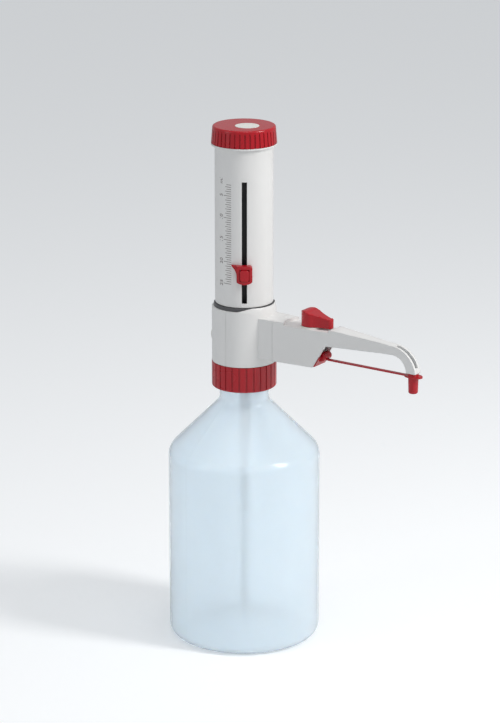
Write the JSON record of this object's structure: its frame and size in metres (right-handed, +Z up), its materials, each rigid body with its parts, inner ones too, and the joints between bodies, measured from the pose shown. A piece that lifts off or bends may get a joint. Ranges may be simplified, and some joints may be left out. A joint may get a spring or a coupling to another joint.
{
  "type": "bottle-top dispenser",
  "caption": "Bottle-top liquid dispenser with a lifting piston sleeve, volume pointer, discharge arm and recirculation lever, screwed on a reagent bottle.",
  "frame": {"origin": "centre of the bottle's base, on the surface it stands on", "axes": "+Z up along the bottle's and the piston's axis, +X along the discharge arm"},
  "size_m": [0.2382, 0.128, 0.4439],
  "materials": {
    "white_shell": "moulded white polypropylene, low gloss",
    "red_plastic": "glossy red moulding",
    "milky_bottle": "translucent milky polyethylene, blow moulded",
    "dark_grey": "dark grey moulding",
    "ring_grey": "grey satin moulding",
    "pale_plastic": "natural unfilled plastic, slightly translucent",
    "cylinder_glass": "clear borosilicate glass",
    "fluoropolymer": "white fluoropolymer, waxy",
    "clear_tube": "translucent tube",
    "seal_rubber": "black elastomer"
  },
  "bodies": {
    "bottle": {"bottle": "milky_bottle"},
    "seal": {"neck_seal": "fluoropolymer"},
    "collar": {"collar": "red_plastic"},
    "block": {"valve_block": "fluoropolymer", "front_housing": "white_shell", "rear_cover": "white_shell", "cylinder_guard": "dark_grey", "glass_cylinder": "cylinder_glass", "cylinder_seal": "fluoropolymer", "cylinder_bush": "dark_grey", "discharge_housing": "white_shell", "outlet_valve": "fluoropolymer", "outlet_pipe": "clear_tube", "return_pipe": "clear_tube", "valve_body": "fluoropolymer", "knob_seat": "pale_plastic", "discharge_tube": "clear_tube", "strap_anchor": "red_plastic", "intake_valve": "fluoropolymer", "suction_tube_upper": "clear_tube", "recirculation_tube": "clear_tube"},
    "lock_ring": {"lock_ring": "ring_grey"},
    "sleeve": {"outer_sleeve": "white_shell", "top_cap": "red_plastic", "cap_disc": "pale_plastic", "piston_rod": "pale_plastic", "piston": "fluoropolymer", "piston_seal": "fluoropolymer", "toothed_rack": "dark_grey"},
    "pointer": {"volume_pointer": "red_plastic"},
    "button": {"pointer_button": "red_plastic", "pointer_latch": "dark_grey"},
    "knob": {"recirculation_knob": "red_plastic", "valve_plug": "fluoropolymer", "plug_o_rings": "seal_rubber"},
    "vent": {"vent_cap": "pale_plastic"},
    "closure": {"nozzle_cap": "red_plastic", "cap_strap": "red_plastic"},
    "suction_end": {"suction_tube_lower": "clear_tube"},
    "intake_ball": {"intake_ball": "cylinder_glass"},
    "outlet_ball": {"outlet_ball": "cylinder_glass"}
  },
  "joints": [
    {"name": "collar_rise", "type": "slide", "parent": "bottle", "child": "seal", "axis": [0, 0, 1], "range_m": [0, 0.01]},
    {"name": "collar_turn", "type": "hinge", "parent": "seal", "child": "collar", "pos_m": [0, 0, 0.23], "axis": [0, 0, 1], "range_deg": [0, 901]},
    {"name": "block_turn", "type": "hinge", "parent": "seal", "child": "block", "pos_m": [0, 0, 0.2432], "axis": [0, 0, 1], "continuous": true},
    {"name": "piston_lift", "type": "slide", "parent": "block", "child": "sleeve", "axis": [0, 0, 1], "range_m": [0, 0.09325]},
    {"name": "pointer_slide", "type": "slide", "parent": "sleeve", "child": "pointer", "axis": [0, 0, 1], "range_m": [-0.01753, 0.06639]},
    {"name": "pointer_button", "type": "slide", "parent": "pointer", "child": "button", "axis": [-0.5736, 0.8192, 0], "range_m": [0, 0.0012], "stiffness_N_per_m": 900, "springref_m": -0.0006},
    {"name": "lock_ring_turn", "type": "hinge", "parent": "block", "child": "lock_ring", "pos_m": [0, 0, 0.2922], "axis": [0, 0, 1], "range_deg": [0, 20]},
    {"name": "recirculation_turn", "type": "hinge", "parent": "block", "child": "knob", "pos_m": [0.0675, 0, 0.284], "axis": [0, 0, 1], "range_deg": [0, 180]},
    {"name": "vent_pull", "type": "slide", "parent": "block", "child": "vent", "axis": [-1, 0, 0], "range_m": [0, 0.012]},
    {"name": "cap_swing", "type": "hinge", "parent": "block", "child": "closure", "pos_m": [0.081, 0, 0.2596], "axis": [0, 1, 0], "range_deg": [0, 70]},
    {"name": "suction_slide", "type": "slide", "parent": "block", "child": "suction_end", "axis": [0, 0, 1], "range_m": [0, 0.084]},
    {"name": "intake_ball_lift", "type": "slide", "parent": "block", "child": "intake_ball", "axis": [0, 0, 1], "range_m": [0, 0.0012]},
    {"name": "outlet_ball_lift", "type": "slide", "parent": "block", "child": "outlet_ball", "axis": [1, 0, 0], "range_m": [0, 0.0008]}
  ],
  "couplings": [
    {"joint": "collar_turn", "follows": "collar_rise", "rad_per_m": 1570.8}
  ]
}
